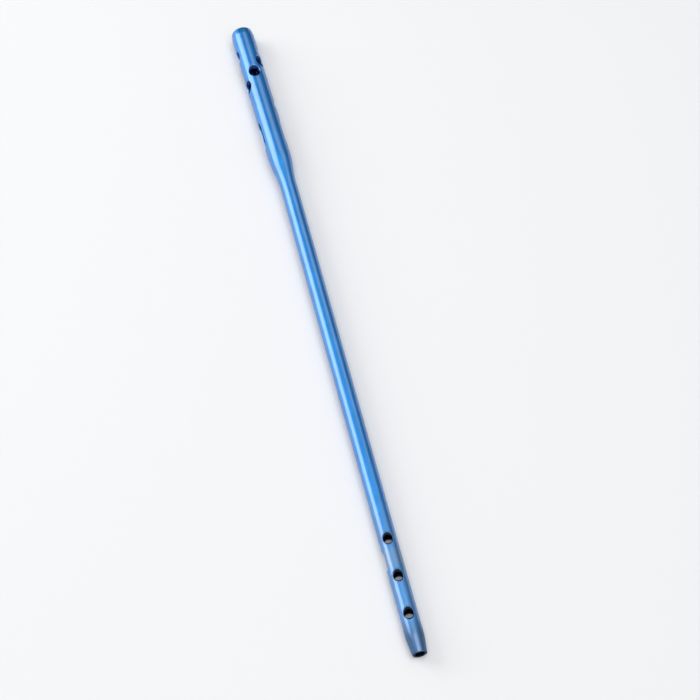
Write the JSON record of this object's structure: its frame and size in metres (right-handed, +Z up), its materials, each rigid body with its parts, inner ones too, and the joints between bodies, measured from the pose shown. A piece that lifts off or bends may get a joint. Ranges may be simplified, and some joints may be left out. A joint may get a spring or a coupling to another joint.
{
  "type": "intramedullary nail",
  "caption": "Cannulated titanium intramedullary nail with a slight bend, oblique and transverse locking holes, a slot and a threaded end for its insertion handle.",
  "frame": {"origin": "centre of the flat proximal face", "axes": "+X down the wide proximal part towards the tip, +Z up from the table that the nail lies on, +Y to the side away from which the shaft bends"},
  "size_m": [0.34, 0.0141, 0.011],
  "materials": {
    "anodised_titanium": "satin"
  },
  "bodies": {
    "root": {"nail_body": "anodised_titanium"}
  },
  "joints": []
}
